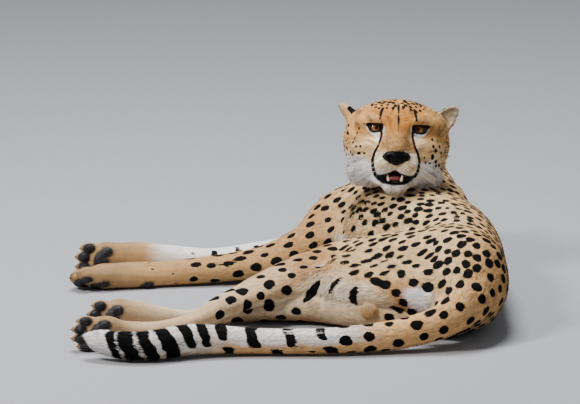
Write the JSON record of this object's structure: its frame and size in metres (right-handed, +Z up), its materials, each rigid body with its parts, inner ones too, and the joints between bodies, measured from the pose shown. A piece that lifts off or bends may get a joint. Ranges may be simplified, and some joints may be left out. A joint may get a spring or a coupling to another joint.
{
  "type": "reclining cheetah",
  "caption": "Life-size adult male cheetah lying on its right side, head turned back over the flank and mouth a little open.",
  "frame": {"origin": "on the floor, at the middle of the outline seen from above", "axes": "+Z up; +Y from the rump toward the shoulders along the back; the legs reach toward -X and the face looks toward -Y"},
  "size_m": [0.6888, 0.7704, 0.2876],
  "materials": {
    "coat": "short dense fur, tan with black spots, white on throat, belly and inner legs",
    "eye": "wet, glossy, amber-brown iris with a round black pupil",
    "tongue": "moist, pink",
    "bare_skin": "dark, fine-grained nose, lips and toe pads",
    "claw": "dark horn, blunt and slightly glossy",
    "tooth": "ivory enamel"
  },
  "bodies": {
    "root": {"head": "coat", "lower_jaw": "coat", "tongue": "tongue", "ear_left": "coat", "ear_right": "coat", "eye_left": "eye", "eye_right": "eye", "neck": "coat", "hips": "coat", "loin": "coat", "ribs": "coat", "chest": "coat", "foreleg_left_upper": "coat", "foreleg_left_lower": "coat", "forefoot_left": "coat", "foreleg_right_upper": "coat", "foreleg_right_lower": "coat", "forefoot_right": "coat", "thigh_left": "coat", "shank_left": "coat", "hock_left": "coat", "hindfoot_left": "coat", "thigh_right": "coat", "shank_right": "coat", "hock_right": "coat", "hindfoot_right": "coat", "tail_base": "coat", "tail_middle": "coat", "tail_end": "coat", "scrotum": "coat"}
  },
  "joints": []
}
